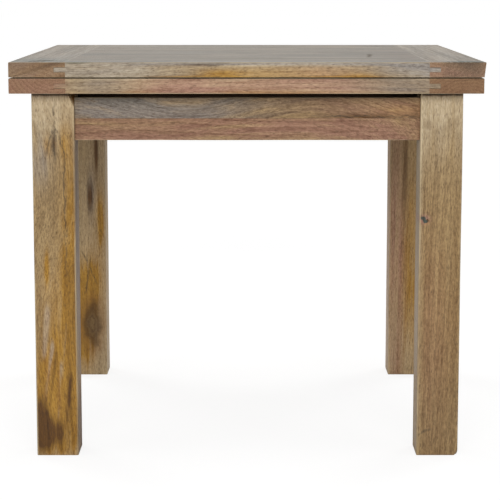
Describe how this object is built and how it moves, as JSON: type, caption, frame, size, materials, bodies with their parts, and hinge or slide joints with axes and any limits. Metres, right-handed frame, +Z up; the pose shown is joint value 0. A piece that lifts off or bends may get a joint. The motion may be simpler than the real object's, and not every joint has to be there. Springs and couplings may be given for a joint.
{
  "type": "butterfly extending dining table",
  "caption": "Square solid-wood flip-top dining table: a sliding lower leaf carries a hinged upper leaf that opens beside it to double the top, on a frame of square legs and aprons.",
  "frame": {"origin": "on the floor under the middle of the closed table", "axes": "+Z up; +X along the planks of the top, the way the top slides; the leaves are hinged along the -X edge; -Y is the front"},
  "size_m": [0.9, 0.9, 0.7692],
  "materials": {
    "mango_planks": "satin oiled",
    "mango_end_boards": "satin oiled",
    "mango_legs": "satin oiled",
    "mango_aprons": "satin oiled",
    "planed_hardwood": "planed, unfinished",
    "brass": "satin",
    "zinc_steel": "zinc plated",
    "felt": "pressed felt"
  },
  "bodies": {
    "base": {"leg_front_left": "mango_legs", "leg_front_right": "mango_legs", "leg_rear_left": "mango_legs", "leg_rear_right": "mango_legs", "apron_front": "mango_aprons", "apron_rear": "mango_aprons", "apron_left": "mango_aprons", "apron_right": "mango_aprons", "corner_block_front_left": "planed_hardwood", "corner_block_front_right": "planed_hardwood", "corner_block_rear_left": "planed_hardwood", "corner_block_rear_right": "planed_hardwood", "leg_bolt_front_left": "zinc_steel", "leg_bolt_front_right": "zinc_steel", "leg_bolt_rear_left": "zinc_steel", "leg_bolt_rear_right": "zinc_steel", "leg_nut_front_left": "zinc_steel", "leg_nut_front_right": "zinc_steel", "leg_nut_rear_left": "zinc_steel", "leg_nut_rear_right": "zinc_steel", "guide_rail_front": "planed_hardwood", "guide_rail_rear": "planed_hardwood", "glide_felt_front": "felt", "glide_felt_rear": "felt"},
    "lower_leaf": {"lower_plank_1": "mango_planks", "lower_plank_2": "mango_planks", "lower_plank_3": "mango_planks", "lower_plank_4": "mango_planks", "lower_plank_5": "mango_planks", "lower_end_left": "mango_end_boards", "lower_end_right": "mango_end_boards", "runner_front": "planed_hardwood", "runner_rear": "planed_hardwood", "hinge_plate_lower_front": "brass", "hinge_plate_lower_middle": "brass", "hinge_plate_lower_rear": "brass"},
    "hinge_links": {"hinge_link_front": "brass", "hinge_link_middle": "brass", "hinge_link_rear": "brass", "hinge_pin_lower_front": "brass", "hinge_pin_lower_middle": "brass", "hinge_pin_lower_rear": "brass", "hinge_pin_upper_front": "brass", "hinge_pin_upper_middle": "brass", "hinge_pin_upper_rear": "brass"},
    "upper_leaf": {"upper_plank_1": "mango_planks", "upper_plank_2": "mango_planks", "upper_plank_3": "mango_planks", "upper_plank_4": "mango_planks", "upper_plank_5": "mango_planks", "upper_end_left": "mango_end_boards", "upper_end_right": "mango_end_boards", "hinge_plate_upper_front": "brass", "hinge_plate_upper_middle": "brass", "hinge_plate_upper_rear": "brass"}
  },
  "joints": [
    {"name": "top_slide", "type": "slide", "parent": "base", "child": "lower_leaf", "axis": [1, 0, 0], "range_m": [0, 0.45]},
    {"name": "link_turn", "type": "hinge", "parent": "lower_leaf", "child": "hinge_links", "pos_m": [-0.4471, 0, 0.7359], "axis": [0, -1, 0], "range_deg": [0, 90]},
    {"name": "leaf_flip", "type": "hinge", "parent": "hinge_links", "child": "upper_leaf", "pos_m": [-0.4471, 0, 0.7433], "axis": [0, -1, 0], "range_deg": [0, 90]}
  ]
}
